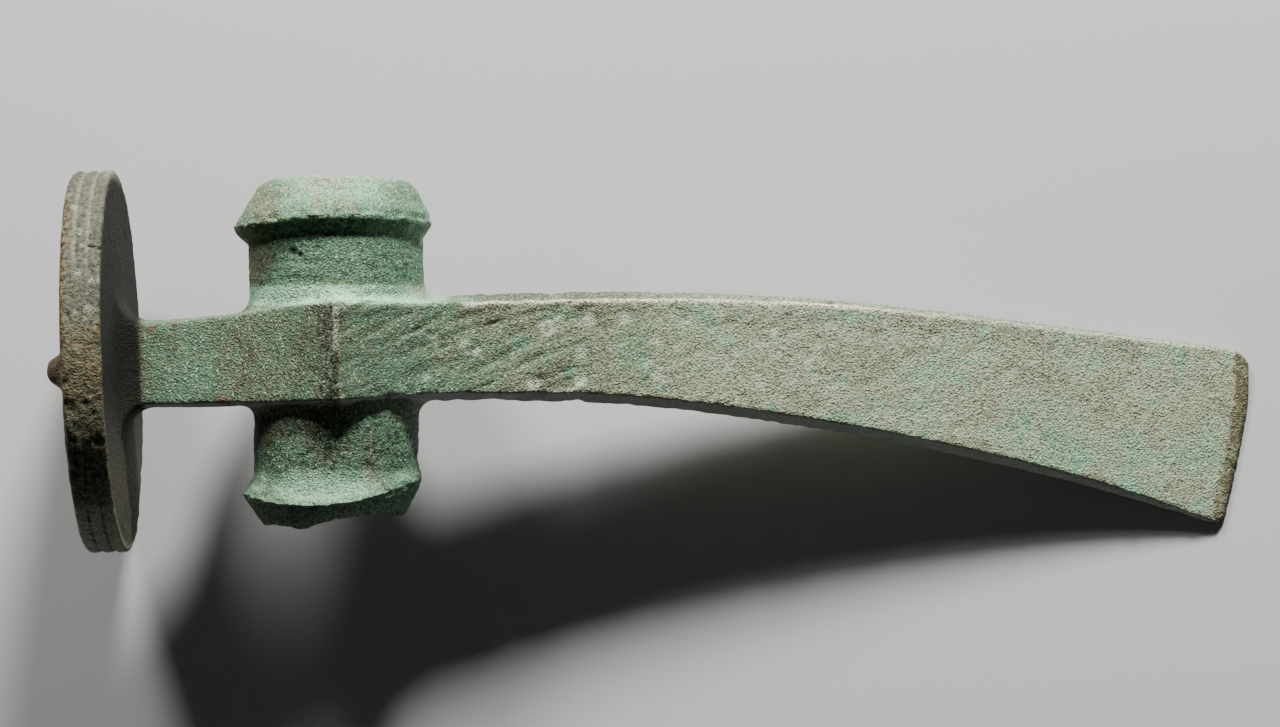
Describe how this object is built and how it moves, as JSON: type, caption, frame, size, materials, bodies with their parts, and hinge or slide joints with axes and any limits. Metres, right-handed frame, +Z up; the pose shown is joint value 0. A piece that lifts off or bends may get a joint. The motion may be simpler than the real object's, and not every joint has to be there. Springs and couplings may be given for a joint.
{
  "type": "disc-butted bronze battle axe head",
  "caption": "Cast bronze battle axe head: round disc butt with a knob, tapered shaft hole in a tube with a collar at each mouth, and a long curved blade for cutting.",
  "frame": {"origin": "under the middle of the laid axe head's box, on the surface that it lies on", "axes": "+X from the disc butt to the cutting edge, +Y along the shaft hole towards its wider upper mouth, +Z up out of the blade's seen face"},
  "size_m": [0.227, 0.0732, 0.0726],
  "materials": {
    "patinated_bronze": "dry, finely pitted green and grey-brown corrosion crust, pale mint on the collars and brown on the rim"
  },
  "bodies": {
    "root": {"axe_head": "patinated_bronze"}
  },
  "joints": []
}
